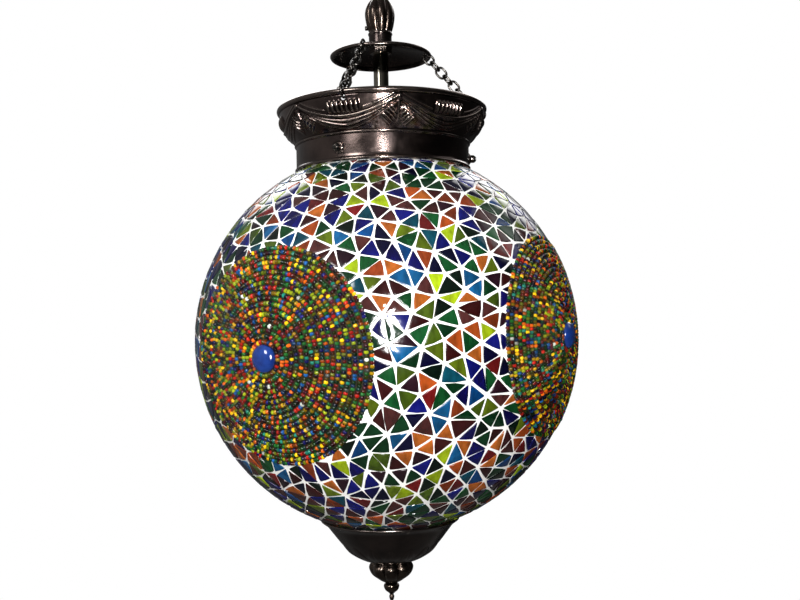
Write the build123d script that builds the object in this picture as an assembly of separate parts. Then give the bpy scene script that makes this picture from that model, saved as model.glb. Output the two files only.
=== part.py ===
from build123d import *
import math
import os

# Hanging mosaic lamp: an eye and fluted knob carry a threaded tube with the lampholder, and a
# disc from which three chains hold a collar, a mosaic glass globe, a cup and a finial.
# Millimetres. Heights in this file are above the globe's centre; save() lowers every piece so that
# the origin is the centre of the hanging eye. Azimuths start at the front (-Y), growing towards +X.

# ---- Driving dimensions ----
EYE_HEIGHT = 240.0
MOSAIC_R = 125.0
GLASS_R = 122.0
GLASS_WALL = 3.0
GROUT_R = 123.6
SKIN_GAP = 0.02

PIPE_R = 5.0
PIPE_WALL = 1.0
PIPE_TOP = 200.5
PIPE_BOTTOM = 112.0
THREAD_GAP = 0.03

EYE_R = 7.5
EYE_BORE_R = 4.5
EYE_THICKNESS = 4.0
EYE_STEM_R = 2.5
KNOB_BASE = 206.0
KNOB_TOP = 231.0
KNOB_LOBES = 8
KNOB_LOBE_AZIMUTH = 11.0
NECK_R = 7.7
SET_SCREW_HEIGHT = 209.0

DISC_TOP = 195.2
DISC_SHEET = 1.0
DISC_BEAD_R = 1.5
DISC_BEAD_RING = 32.4
DISC_BEAD_HEIGHT = 189.4

CHAIN_AZIMUTHS = (-20.0, 100.0, 220.0)
CHAIN_LINKS = 8
WIRE_R = 0.8
LINK_INNER_WIDTH = 4.2
LINK_PLAY = 0.1
END_RING_INNER_R = 3.4
LINK_TWIST = 90.0
TOP_LINK = (32.9, 188.9)
END_RING = (67.5, 152.2)

COLLAR_NECK_R = 57.5
COLLAR_SHEET = 1.3
COLLAR_BOTTOM = 112.6
COLLAR_STEP = 129.0
COLLAR_BEAD_R = 1.9
COLLAR_BEAD_RING = 68.1
COLLAR_BEAD_HEIGHT = 151.6
CHAIN_HOLE_HEIGHT = 148.0

SCREW_AZIMUTHS = (-28.0, 92.0, 212.0)
SCREW_HEIGHT = 120.0
SCREW_R = 1.5
SCREW_HEAD_R = 2.6

GLASS_NECK_R = 52.0
GLASS_NECK_TOP = 128.4
GLASS_DRAIN_R = 5.0

MEDALLIONS = ((-33.5, -3.5, 30.5), (62.0, 0.6, 29.8), (150.0, 0.0, 30.0), (238.0, 0.0, 30.0))
MEDALLION_R = 125.8
CABOCHON_R = 8.0
CABOCHON_TOP = 129.0

HOLDER_R = 18.1
BULB_R = 30.0
BULB_CENTRE = 18.0
BULB_SEAT = 66.0

CUP_LIP_R = 46.0
CUP_LIP_HEIGHT = -118.2
CUP_SHEET = 1.0
CUP_FLOOR = -145.9
ROD_R = 2.0
FINIAL_TOP = -146.2
FINIAL_LOBES = 8
FINIAL_SPLIT = -160.9
FINIAL_BOTTOM = -173.0


# ---- Shared shapes ----
def line(*points):
    """A broken line through (radius, height) points."""
    return Polyline(*[(r, 0, z) for r, z in points]).edges()


def curve(*points):
    """A smooth curve through (radius, height) points."""
    return Spline(*[(r, 0, z) for r, z in points]).edges()


def arc(start, middle, end):
    """A circular arc through three (radius, height) points."""
    return ThreePointArc(*[(r, 0, z) for r, z in (start, middle, end)]).edges()


def turned(*runs):
    """The solid of revolution of a closed outline, given as runs of edges."""
    edges = [edge for run in runs for edge in run]
    face = make_face(edges)
    return revolve(face, axis=Axis.Z)


def ring(inner_r, outer_r, bottom, top):
    """A plain turned ring."""
    corners = ((inner_r, bottom), (outer_r, bottom), (outer_r, top), (inner_r, top), (inner_r, bottom))
    return turned(line(*corners))


def rod(radius, bottom, top):
    """A plain upright cylinder."""
    return Pos(0, 0, (bottom + top) / 2) * Cylinder(radius, top - bottom)


def hexagon(across_flats, bore_r, bottom, top):
    """A plain hexagonal nut."""
    blank = extrude(RegularPolygon(across_flats / 2, 6, major_radius=False), top - bottom)
    return Pos(0, 0, bottom) * (blank - rod(bore_r, -1, top - bottom + 1))


def sphere_height(sphere_r, at_r):
    """How high the sphere about the globe's centre stands at a radius from the axis."""
    return math.sqrt(sphere_r**2 - at_r**2)


def outward(azimuth, elevation=0.0):
    """The unit vector from the globe's centre at an azimuth and elevation."""
    a = math.radians(azimuth)
    e = math.radians(elevation)
    return Vector(math.cos(e) * math.sin(a), -math.cos(e) * math.cos(a), math.sin(e))


def facing(azimuth, elevation=0.0, height=0.0):
    """A plane on the axis whose normal points outward at an azimuth and elevation."""
    return Plane(origin=(0, 0, height), z_dir=outward(azimuth, elevation))


def radial_rod(azimuth, height, radius, start, end):
    """A cylinder that lies along a radius, from one distance off the axis to another."""
    return facing(azimuth, 0, height) * rod(radius, start, end)


def skin(inner_r, outer_r, bottom_edge_r, top_edge_r):
    """A spherical skin between a low opening and a high opening."""
    shell = Sphere(outer_r) - Sphere(inner_r)
    low_opening = rod(bottom_edge_r, -outer_r - 9, -outer_r / 2)
    high_opening = rod(top_edge_r, outer_r / 2, outer_r + 9)
    return shell - low_opening - high_opening


def save(name, *shapes):
    """Write one node, lowered so that the eye's centre is the origin."""
    solids = [solid for shape in shapes for solid in shape.solids()]
    body = solids[0] if len(solids) == 1 else Compound(children=solids)
    export_step(Pos(0, 0, -EYE_HEIGHT) * body, f"parts/{name}.step")


# ---- Hanger ----
def hanging_eye():
    loop = Pos(0, 0, EYE_HEIGHT) * (Rot(90, 0, 0) * Cylinder(EYE_R, EYE_THICKNESS))
    bore = Pos(0, 0, EYE_HEIGHT) * (Rot(90, 0, 0) * Cylinder(EYE_BORE_R, 2 * EYE_THICKNESS))
    stem = rod(EYE_STEM_R, KNOB_TOP - 6.0, EYE_HEIGHT - EYE_BORE_R - 1.0)
    return loop + stem - bore


def fluted_knob():
    belly = ((9.4, 212.0), (10.1, 217.5), (9.3, 222.5), (7.0, 226.5))
    body = turned(
        line((0, KNOB_BASE), (NECK_R, KNOB_BASE)),
        curve((NECK_R, KNOB_BASE), *belly, (3.6, KNOB_TOP)),
        line((3.6, KNOB_TOP), (0, KNOB_TOP), (0, KNOB_BASE)),
    )
    flute_r = 1.6
    flute_ring = 10.9
    for n in range(KNOB_LOBES):
        angle = math.radians(KNOB_LOBE_AZIMUTH + (n + 0.5) * 360 / KNOB_LOBES)
        x, y = flute_ring * math.sin(angle), -flute_ring * math.cos(angle)
        body -= Pos(x, y, (KNOB_BASE + KNOB_TOP) / 2) * Cylinder(flute_r, 30)
    socket = rod(4.05, KNOB_BASE - 1, 213.3)
    eye_thread = rod(EYE_STEM_R + THREAD_GAP, KNOB_TOP - 6.5, KNOB_TOP + 1)
    screw_hole = radial_rod(-90, SET_SCREW_HEIGHT, SCREW_R + THREAD_GAP, 3.0, 12.0)
    return body - socket - eye_thread - screw_hole


def knob_set_screw():
    return radial_rod(-90, SET_SCREW_HEIGHT, SCREW_R, 4.05, 9.4)


def knob_neck():
    body = rod(NECK_R, DISC_TOP, KNOB_BASE) + rod(4.0, KNOB_BASE, 213.0)
    pipe_bore = rod(PIPE_R + THREAD_GAP, DISC_TOP - 1, PIPE_TOP)
    chamber = rod(5.5, PIPE_TOP, KNOB_BASE - 1.5)
    inlet = radial_rod(180, 202.5, 1.9, 3.0, 10.0)
    return body - pipe_bore - chamber - inlet


def cable_bush():
    sleeve = radial_rod(180, 202.5, 1.85, 5.7, 8.6)
    flange = radial_rod(180, 202.5, 2.7, 7.75, 8.6)
    hole = radial_rod(180, 202.5, 1.2, 4.0, 10.0)
    return sleeve + flange - hole


def suspension_tube():
    return ring(PIPE_R - PIPE_WALL, PIPE_R, PIPE_BOTTOM, PIPE_TOP)


def wire_core(side):
    """One insulated conductor, from the inlet chamber down the tube to its terminal."""
    inside_r = 1.7
    route = FilletPolyline(
        (side * inside_r, 0, KNOB_BASE - 2.0),
        (side * inside_r, 0, 111.0),
        (side * 7.0, 0, 104.5),
        radius=3.0,
    )
    start = Plane(origin=(side * inside_r, 0, KNOB_BASE - 2.0), z_dir=(0, 0, -1))
    return sweep(start * Circle(1.1), path=route)


def canopy_disc():
    edge_r = DISC_BEAD_RING - 0.8
    edge_z = DISC_BEAD_HEIGHT + 1.3
    hole_r = PIPE_R + THREAD_GAP
    middle = (20.0, DISC_TOP - 1.7)
    middle_under = (20.0, DISC_TOP - 1.7 - DISC_SHEET)
    under = DISC_TOP - DISC_SHEET
    sheet = turned(
        line((hole_r, under), (hole_r, DISC_TOP)),
        arc((hole_r, DISC_TOP), middle, (edge_r, edge_z)),
        line((edge_r, edge_z), (edge_r, edge_z - DISC_SHEET)),
        arc((edge_r, edge_z - DISC_SHEET), middle_under, (hole_r, under)),
    )
    disc = sheet + Pos(0, 0, DISC_BEAD_HEIGHT) * Torus(DISC_BEAD_RING, DISC_BEAD_R)
    for azimuth in CHAIN_AZIMUTHS:
        spot = outward(azimuth) * chain_hole_ring()
        disc -= Pos(spot.X, spot.Y, DISC_BEAD_HEIGHT) * Cylinder(1.5, 12)
    return disc


def disc_lock_nut():
    top = DISC_TOP - DISC_SHEET - 0.35
    return hexagon(13.0, PIPE_R + THREAD_GAP, top - 2.4, top)


# ---- Chains ----
def link_pitch():
    """Spacing of the links, so that they and the end ring just fill the chain's length."""
    return (math.dist(TOP_LINK, END_RING) - END_RING_INNER_R) / (CHAIN_LINKS - 0.5)


def chain_hole_ring():
    """Radius at which the top link goes down through the disc."""
    straight = (link_pitch() + LINK_PLAY - LINK_INNER_WIDTH) / 2
    reach = straight * math.cos(math.pi / 4) + LINK_INNER_WIDTH / 2 + WIRE_R
    return TOP_LINK[0] - reach


def oval_link():
    """A link in the XY plane, its long way along X."""
    bend_r = LINK_INNER_WIDTH / 2 + WIRE_R
    straight = link_pitch() + LINK_PLAY - LINK_INNER_WIDTH
    section = Plane.XZ * Pos(bend_r, 0) * Circle(WIRE_R)
    bend = Rot(0, 0, -90) * revolve(section, axis=Axis.Z, revolution_arc=180)
    bar = Rot(0, 90, 0) * Cylinder(WIRE_R, straight)
    link = Pos(straight / 2, 0, 0) * bend + Pos(-straight / 2, 0, 0) * (Rot(0, 0, 180) * bend)
    return link + Pos(0, bend_r, 0) * bar + Pos(0, -bend_r, 0) * bar


def chain(azimuth):
    """The links of one chain and its end ring, each a solid of its own."""
    side = outward(azimuth)
    start = side * TOP_LINK[0] + Vector(0, 0, TOP_LINK[1])
    end = side * END_RING[0] + Vector(0, 0, END_RING[1])
    along = (end - start).normalized()
    frame = Plane(origin=start, x_dir=along, z_dir=along.cross(Vector(0, 0, 1)).normalized())
    link = oval_link()
    pieces = []
    for n in range(CHAIN_LINKS):
        pieces.append(frame * (Pos(n * link_pitch(), 0, 0) * (Rot(LINK_TWIST * n, 0, 0) * link)))
    length = math.dist(TOP_LINK, END_RING)
    pieces.append(frame * (Pos(length, 0, 0) * Torus(END_RING_INNER_R + WIRE_R, WIRE_R)))
    return pieces


# ---- Lampholder and bulb ----
def holder_lock_nut():
    return hexagon(16.0, PIPE_R + THREAD_GAP, 124.05, 127.0)


def holder_cap():
    skin_r = HOLDER_R + 0.1
    return turned(
        line((PIPE_R + THREAD_GAP, 118.0), (PIPE_R + THREAD_GAP, 124.0), (9.0, 124.0), (9.0, 120.0)),
        arc((9.0, 120.0), (16.0, 115.5), (skin_r + 1.3, 108.0)),
        line((skin_r + 1.3, 108.0), (skin_r + 1.3, 96.0), (skin_r, 96.0), (skin_r, 107.5)),
        arc((skin_r, 107.5), (14.8, 114.2), (8.0, 118.0)),
        line((8.0, 118.0), (PIPE_R + THREAD_GAP, 118.0)),
    )


def holder_body():
    socket_r = 14.6
    body = rod(HOLDER_R, 60.0, 102.0) - rod(socket_r, 59.0, 95.0)
    for side in (-1, 1):
        body -= Pos(side * 7.0, 0, 98.0) * Cylinder(1.2, 20)
    return body


def holder_screw_shell():
    return ring(13.75, 14.5, 63.0, 94.5)


def centre_contact():
    return rod(3.8, 93.3, 94.95)


def terminal_blocks():
    block = Pos(0, 0, 104.3) * Box(5.0, 6.0, 4.5)
    return [Pos(side * 7.5, 0, 0) * block for side in (-1, 1)]


def terminal_screws():
    screw = rod(1.4, 106.6, 108.4)
    return [Pos(side * 8.6, 0, 0) * screw for side in (-1, 1)]


def bulb_cap():
    cap_r = 13.2
    outside = ((0, 91.0), (8.0, 91.0), (cap_r, 87.0), (cap_r, BULB_SEAT))
    inside = ((cap_r - 1.0, BULB_SEAT), (cap_r - 1.0, 86.0), (0, 86.0), (0, 91.0))
    return turned(line(*outside, *inside))


def bulb_contact():
    return rod(4.2, 91.02, 93.2)


def bulb_outline(inset):
    """Half the bulb's section, moved in by the glass thickness."""
    radius = BULB_R - inset
    shoulder = math.radians(25.0)
    shoulder_point = (radius * math.cos(shoulder), BULB_CENTRE + radius * math.sin(shoulder))
    neck_r = 13.15 - inset
    waist = (radius * math.cos(shoulder), BULB_CENTRE - radius * math.sin(shoulder))
    bowl = arc((0, BULB_CENTRE - radius), waist, shoulder_point)
    neck = curve(shoulder_point, (20.0 - inset, 47.0), (14.6 - inset, 58.5), (neck_r, BULB_SEAT - 0.1))
    return bowl, neck, neck_r


def bulb_glass():
    wall = 1.0
    bowl, neck, neck_r = bulb_outline(0)
    inner_bowl, inner_neck, inner_neck_r = bulb_outline(wall)
    top = BULB_SEAT - 0.1
    rim = line((neck_r, top), (inner_neck_r, top))
    floor = line((0, BULB_CENTRE - BULB_R), (0, BULB_CENTRE - BULB_R + wall))
    return turned(bowl, neck, rim, inner_neck, inner_bowl, floor)


def bulb_stem():
    stem = rod(3.0, 38.0, 84.0)
    flare = rod(11.0, 66.5, 68.0)
    filament = Pos(0, 0, 36.5) * Torus(8.0, 0.6)
    arms = Pos(0, 0, 36.9) * (Rot(0, 90, 0) * Cylinder(0.7, 15.6))
    return stem + flare + filament + arms + rod(1.2, 36.0, 39.0)


# ---- Collar ----
def collar():
    sheet = COLLAR_SHEET
    r = COLLAR_NECK_R
    bead_join = COLLAR_BEAD_HEIGHT - 0.9
    flare = ((r, COLLAR_STEP), (61.0, 133.3), (64.6, 138.0), (67.1, 143.0), (68.6, bead_join))
    inner_flare = [(radius - sheet, height + 0.4) for radius, height in flare]
    shell = turned(
        line((r - sheet, COLLAR_BOTTOM), (r, COLLAR_BOTTOM), (r, COLLAR_STEP)),
        curve(*flare),
        line(flare[-1], inner_flare[-1]),
        curve(*reversed(inner_flare)),
        line(inner_flare[0], (r - sheet, COLLAR_BOTTOM)),
    )
    body = shell + Pos(0, 0, COLLAR_BEAD_HEIGHT) * Torus(COLLAR_BEAD_RING, COLLAR_BEAD_R)
    body += Pos(0, 0, COLLAR_BOTTOM) * Torus(r - 0.1, 1.1)
    body += Pos(0, 0, COLLAR_STEP) * Torus(r + 0.2, 0.9)
    for azimuth in CHAIN_AZIMUTHS:
        body -= radial_rod(azimuth, CHAIN_HOLE_HEIGHT, 1.7, 62.0, 74.0)
    for azimuth in SCREW_AZIMUTHS:
        body -= radial_rod(azimuth, SCREW_HEIGHT, SCREW_R + 0.3, 50.0, 62.0)
    return body


def screw_bosses():
    wall = rod(COLLAR_NECK_R + SKIN_GAP, 100.0, 140.0)
    bosses = []
    for azimuth in SCREW_AZIMUTHS:
        boss = radial_rod(azimuth, SCREW_HEIGHT, 3.6, 56.0, 58.9) - wall
        bosses.append(boss - radial_rod(azimuth, SCREW_HEIGHT, SCREW_R + 0.05, 50.0, 62.0))
    return bosses


def thumb_screw(azimuth):
    """A round slotted head on a plain shank that presses on the glass neck."""
    head_start = 59.1
    head = turned(
        line((0, head_start), (SCREW_HEAD_R, head_start), (SCREW_HEAD_R, head_start + 2.2)),
        arc((SCREW_HEAD_R, head_start + 2.2), (1.8, head_start + 3.5), (0, head_start + 3.9)),
        line((0, head_start + 3.9), (0, head_start)),
    )
    slot = Pos(0, 0, head_start + 3.6) * Box(8.0, 0.8, 2.2)
    shank = rod(SCREW_R, GLASS_NECK_R + 0.35, head_start + 0.5)
    return facing(azimuth, 0, SCREW_HEIGHT) * (head + shank - slot)


# ---- Globe ----
def globe_glass():
    inner_r = GLASS_R - GLASS_WALL
    neck_in = GLASS_NECK_R - GLASS_WALL
    drain_out = (GLASS_DRAIN_R, -sphere_height(GLASS_R, GLASS_DRAIN_R))
    drain_in = (GLASS_DRAIN_R, -sphere_height(inner_r, GLASS_DRAIN_R))
    neck_foot = (GLASS_NECK_R, sphere_height(GLASS_R, GLASS_NECK_R))
    neck_foot_in = (neck_in, sphere_height(inner_r, neck_in))
    lip_start = (GLASS_NECK_R, GLASS_NECK_TOP - 2.4)
    lip_end = (GLASS_NECK_R, GLASS_NECK_TOP)
    return turned(
        arc(drain_out, (GLASS_R, 0), neck_foot),
        line(neck_foot, lip_start),
        arc(lip_start, (GLASS_NECK_R + 1.6, GLASS_NECK_TOP - 1.2), lip_end),
        line(lip_end, (neck_in, GLASS_NECK_TOP), neck_foot_in),
        arc(neck_foot_in, (inner_r, 0), drain_in),
        line(drain_in, drain_out),
    )


def grout_layer():
    return skin(GLASS_R + SKIN_GAP, GROUT_R, 8.0, 53.0)


def tile_field():
    field = skin(GROUT_R + SKIN_GAP, MOSAIC_R, 30.0, 54.5)
    for azimuth, elevation, half_angle in MEDALLIONS:
        opening_r = MOSAIC_R * math.sin(math.radians(half_angle + 0.7))
        field -= facing(azimuth, elevation) * rod(opening_r, MOSAIC_R / 2, MOSAIC_R + 9)
    return field


def medallion(azimuth, elevation, half_angle):
    """The bead field of one medallion, a shallow spherical cap with a hole for its stone."""
    rim = math.radians(half_angle)
    hole_in = (CABOCHON_R + 0.1, sphere_height(GROUT_R + SKIN_GAP, CABOCHON_R + 0.1))
    hole_out = (CABOCHON_R + 0.1, sphere_height(MEDALLION_R, CABOCHON_R + 0.1))
    rim_in = ((GROUT_R + SKIN_GAP) * math.sin(rim), (GROUT_R + SKIN_GAP) * math.cos(rim))
    rim_out = (MEDALLION_R * math.sin(rim), MEDALLION_R * math.cos(rim))
    half = rim / 2
    middle_in = ((GROUT_R + SKIN_GAP) * math.sin(half), (GROUT_R + SKIN_GAP) * math.cos(half))
    middle_out = (MEDALLION_R * math.sin(half), MEDALLION_R * math.cos(half))
    cap = turned(
        line(hole_in, hole_out),
        arc(hole_out, middle_out, rim_out),
        line(rim_out, rim_in),
        arc(rim_in, middle_in, hole_in),
    )
    return facing(azimuth, elevation) * cap


def cabochon(azimuth, elevation):
    """A domed round glass stone."""
    foot = GROUT_R + 0.05
    girdle = foot + 2.2
    rise = CABOCHON_TOP - girdle
    dome_r = (CABOCHON_R**2 + rise**2) / (2 * rise)
    dome = Pos(0, 0, CABOCHON_TOP - dome_r) * Sphere(dome_r)
    stone = rod(CABOCHON_R, foot, CABOCHON_TOP) & dome
    return facing(azimuth, elevation) * stone


# ---- Cup, clamp and finial ----
def bottom_cup():
    lip = (CUP_LIP_R - 0.5, CUP_LIP_HEIGHT)
    side = ((42.0, -121.2), (38.4, -126.0), (33.4, -132.4), (27.6, -138.8), (20.4, -143.4))
    outer = (lip, *side, (13.0, CUP_FLOOR))
    inner = [(radius - 0.55, height + 0.85) for radius, height in outer]
    floor_in = CUP_FLOOR + CUP_SHEET
    bore_r = ROD_R + 0.1
    shell = turned(
        curve(*outer),
        line(outer[-1], (bore_r, CUP_FLOOR), (bore_r, floor_in), (inner[-1][0], floor_in), inner[-1]),
        curve(*reversed(inner)),
        line(inner[0], outer[0]),
    )
    return shell + Pos(0, 0, CUP_LIP_HEIGHT + 0.3) * Torus(CUP_LIP_R - 0.8, 0.8)


def cup_gasket():
    return turned(line((40.2, -118.5), (42.6, -117.6), (42.6, -118.5), (40.2, -119.8), (40.2, -118.5)))


def threaded_rod():
    return rod(ROD_R, -156.0, -109.0)


def inner_washer():
    return ring(ROD_R + 0.2, 12.0, -118.3, -116.8)


def clamp_plate():
    return ring(ROD_R + 0.2, 15.0, -116.78, -115.3)


def clamp_nut():
    return hexagon(7.0, ROD_R + THREAD_GAP, -115.28, -112.1)


def finial_ball():
    body = turned(
        line((0, FINIAL_TOP), (12.6, FINIAL_TOP)),
        curve((12.6, FINIAL_TOP), (14.7, -150.4), (12.7, -155.2), (8.0, -158.7), (4.2, FINIAL_SPLIT)),
        line((4.2, FINIAL_SPLIT), (0, FINIAL_SPLIT), (0, FINIAL_TOP)),
    )
    groove_ring = 16.0
    for n in range(FINIAL_LOBES):
        angle = math.radians((n + 0.5) * 360 / FINIAL_LOBES)
        x, y = groove_ring * math.sin(angle), groove_ring * math.cos(angle)
        body -= Pos(x, y, -153.0) * Cylinder(2.2, 30)
    return body - rod(ROD_R + 0.05, -156.5, FINIAL_TOP + 1)


def finial_tip():
    top = FINIAL_SPLIT - SKIN_GAP
    point_r = 1.3
    point_z = FINIAL_BOTTOM + point_r
    flank = point_r * math.sqrt(0.5)
    return turned(
        line((0, top), (4.2, top)),
        curve((4.2, top), (5.1, -163.6), (3.7, -166.2), (1.3, -168.3)),
        curve((1.3, -168.3), (1.8, -170.0), (point_r, point_z)),
        arc((point_r, point_z), (flank, point_z - flank), (0, FINIAL_BOTTOM)),
        line((0, FINIAL_BOTTOM), (0, top)),
    )


os.makedirs("parts", exist_ok=True)
save("hanging_eye", hanging_eye())
save("fluted_knob", fluted_knob())
save("knob_set_screw", knob_set_screw())
save("knob_neck", knob_neck())
save("cable_bush", cable_bush())
save("suspension_tube", suspension_tube())
save("core_line", wire_core(-1))
save("core_neutral", wire_core(1))
save("canopy_disc", canopy_disc())
save("disc_lock_nut", disc_lock_nut())
for number, azimuth in enumerate(CHAIN_AZIMUTHS, 1):
    save(f"chain_{number}", *chain(azimuth))

save("holder_lock_nut", holder_lock_nut())
save("holder_cap", holder_cap())
save("holder_body", holder_body())
save("holder_screw_shell", holder_screw_shell())
save("centre_contact", centre_contact())
save("terminal_blocks", *terminal_blocks())
save("terminal_screws", *terminal_screws())
save("bulb_cap", bulb_cap())
save("bulb_contact", bulb_contact())
save("bulb_glass", bulb_glass())
save("bulb_stem", bulb_stem())

save("collar", collar())
save("screw_bosses", *screw_bosses())
for number, azimuth in enumerate(SCREW_AZIMUTHS, 1):
    save(f"thumb_screw_{number}", thumb_screw(azimuth))

save("globe_glass", globe_glass())
save("grout_layer", grout_layer())
save("tile_field", tile_field())
for number, (azimuth, elevation, half_angle) in enumerate(MEDALLIONS, 1):
    save(f"medallion_{number}", medallion(azimuth, elevation, half_angle))
    save(f"cabochon_{number}", cabochon(azimuth, elevation))

save("bottom_cup", bottom_cup())
save("cup_gasket", cup_gasket())
save("threaded_rod", threaded_rod())
save("inner_washer", inner_washer())
save("clamp_plate", clamp_plate())
save("clamp_nut", clamp_nut())
save("finial_ball", finial_ball())
save("finial_tip", finial_tip())
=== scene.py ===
import math

import bmesh
import bpy
import numpy as np
from mathutils import Matrix, Vector


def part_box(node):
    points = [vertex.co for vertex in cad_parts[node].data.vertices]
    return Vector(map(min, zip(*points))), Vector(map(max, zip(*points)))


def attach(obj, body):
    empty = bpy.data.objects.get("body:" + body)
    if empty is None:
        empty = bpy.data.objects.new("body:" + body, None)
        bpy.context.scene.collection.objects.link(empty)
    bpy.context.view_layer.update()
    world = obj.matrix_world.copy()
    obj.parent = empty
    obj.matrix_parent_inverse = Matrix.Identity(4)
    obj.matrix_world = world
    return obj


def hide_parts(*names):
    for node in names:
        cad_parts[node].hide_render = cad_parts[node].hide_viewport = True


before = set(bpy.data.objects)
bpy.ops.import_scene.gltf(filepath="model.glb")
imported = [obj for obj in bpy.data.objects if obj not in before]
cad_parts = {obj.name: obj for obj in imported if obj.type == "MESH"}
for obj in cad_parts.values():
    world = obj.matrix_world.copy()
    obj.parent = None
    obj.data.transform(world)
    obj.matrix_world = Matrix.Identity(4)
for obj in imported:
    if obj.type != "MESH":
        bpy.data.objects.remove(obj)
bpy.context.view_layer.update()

# Hanging mosaic lamp. Outlines are in millimetres, as (distance off the axis, height above the
# globe's centre). Azimuths start at the front (-Y) and grow towards +X.

# ---- Driving dimensions ----
EYE_OUTER_R = 7.5
EYE_BORE_R = 4.5
EYE_HEIGHT = 240.0
GLOBE_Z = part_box("hanging_eye")[1].z - (EYE_OUTER_R + EYE_HEIGHT) / 1000
KNOB_BASE = 206.0
KNOB_TOP = 231.0
KNOB_R = 10.1
SET_SCREW_HEIGHT = 209.0
LOBE_COUNT = 8

PIPE_R = 5.0
PIPE_BORE_R = 4.0
PIPE_BOTTOM = 112.0
PIPE_TOP = 200.4

DISC_TOP = 195.2
DISC_DROP = 4.5
DISC_DROP_R = 31.6
DISC_SHEET = 1.0
DISC_BEAD_R = 1.5
DISC_BEAD_RING = (32.4, 189.4)

CHAIN_AZIMUTHS = (-20.0, 100.0, 220.0)
LINK_COUNT = 8
LINK_INNER_WIDTH = 4.2
LINK_PLAY = 0.1
LINK_SEAM = 0.09
WIRE_R = 0.8
TOP_LINK = (32.9, 188.9)
END_RING = (67.5, 152.2)
END_RING_R = 4.2
END_RING_SEAM = 1.2
CHAIN_HOLE_HEIGHT = 148.0

SCREW_AZIMUTHS = (-28.0, 92.0, 212.0)
SCREW_HEIGHT = 120.0
SCREW_SLOT = 0.4

GROUT_R = 124.5
GROUT_INNER_R = 122.05
GROUT_EDGES = (8.0, 53.0)
TILE_TOP_R = 125.0
TILE_FOOT_R = 123.7
MEDALLIONS = ((-33.5, -3.5, 30.5), (62.0, 0.6, 29.8), (150.0, 0.0, 30.0), (238.0, 0.0, 30.0))
STONE_R = 8.0

rng = np.random.default_rng(11)


# ---- Meshes ----
def metres(points):
    """Drawing millimetres to metres in the row frame."""
    out = np.asarray(points, float) / 1000
    out[:, 2] += GLOBE_Z
    return out


def volume(verts, faces):
    """Signed volume inside a closed mesh."""
    total = 0.0
    for block in faces:
        for k in range(1, block.shape[1] - 1):
            a, b, c = verts[block[:, 0]], verts[block[:, k]], verts[block[:, k + 1]]
            total += np.einsum("ij,ij->", a, np.cross(b, c))
    return total


def outside_out(verts, faces):
    """The faces, turned round if they face inwards."""
    if volume(verts, faces) < 0:
        return [block[:, ::-1] for block in faces]
    return faces


def mesh_object(name, verts, faces, material, crease=40.0, tint=None):
    """An object from points in drawing millimetres and blocks of faces of one size each."""
    mesh = bpy.data.meshes.new(name)
    mesh.vertices.add(len(verts))
    mesh.vertices.foreach_set("co", metres(verts).ravel())
    loops = np.concatenate([block.ravel() for block in faces])
    sizes = np.concatenate([np.full(len(block), block.shape[1]) for block in faces])
    mesh.loops.add(len(loops))
    mesh.loops.foreach_set("vertex_index", loops.astype(np.int32))
    mesh.polygons.add(len(sizes))
    starts = np.concatenate([[0], np.cumsum(sizes)[:-1]])
    mesh.polygons.foreach_set("loop_start", starts.astype(np.int32))
    mesh.update(calc_edges=True)
    mesh.validate()
    mesh.polygons.foreach_set("use_smooth", np.ones(len(sizes), bool))
    if crease:
        mesh.set_sharp_from_angle(angle=math.radians(crease))
    if tint is not None:
        layer = mesh.color_attributes.new("tint", "FLOAT_COLOR", "POINT")
        layer.data.foreach_set("color", np.asarray(tint, np.float32).ravel())
    mesh.materials.append(material)
    piece = bpy.data.objects.new(name, mesh)
    bpy.context.scene.collection.objects.link(piece)
    return piece


def joined(parts):
    """Several (points, faces) meshes as one."""
    verts, faces, base = [], [], 0
    for points, blocks in parts:
        verts.append(points)
        faces += [block + base for block in blocks]
        base += len(points)
    return np.concatenate(verts), faces


def bands(index):
    """The quads between neighbouring rings of points, given as rows of point numbers."""
    low, high = index[:-1], index[1:]
    return np.stack([low, np.roll(low, -1, 1), np.roll(high, -1, 1), high], -1).reshape(-1, 4)


def turned(outline, segments=96, relief=None, mask=None):
    """A surface of revolution.

    An outline that doesn't start and end on the axis is a closed loop.
    """
    outline = np.asarray(outline, float)
    theta = np.linspace(0, 2 * math.pi, segments, endpoint=False)[None, :]
    r = outline[:, :1] + 0 * theta
    z = outline[:, 1:] + 0 * theta
    if relief:
        weight = 1.0 if mask is None else np.asarray(mask, float)[:, None]
        r = r + weight * relief(theta, r, z)
    verts = np.stack([r * np.sin(theta), -r * np.cos(theta), z], -1).reshape(-1, 3)
    rows = len(outline)
    index = np.arange(rows * segments).reshape(rows, segments)
    on_axis = outline[:, 0] < 1e-6
    index[on_axis] = index[on_axis][:, :1]
    quads, tris = [], []
    last = rows - 1 if on_axis[0] and on_axis[-1] else rows
    for i in range(last):
        low, high = index[i], index[(i + 1) % rows]
        low_next, high_next = np.roll(low, -1), np.roll(high, -1)
        if on_axis[i]:
            tris.append(np.stack([low, high_next, high], -1))
        elif on_axis[(i + 1) % rows]:
            tris.append(np.stack([low, low_next, high], -1))
        else:
            quads.append(np.stack([low, low_next, high_next, high], -1))
    faces = [np.concatenate(block) for block in (quads, tris) if block]
    used, packed = np.unique(np.concatenate([f.ravel() for f in faces]), return_inverse=True)
    packed = packed.ravel()
    out, at = [], 0
    for block in faces:
        out.append(packed[at:at + block.size].reshape(block.shape))
        at += block.size
    verts = verts[used]
    return verts, outside_out(verts, out)


def flagged(*runs):
    """An outline and its relief mask, from runs of points with 1 where they carry the relief."""
    outline = [point for points, _ in runs for point in points]
    mask = [flag for points, flag in runs for _ in points]
    return outline, mask


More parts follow.
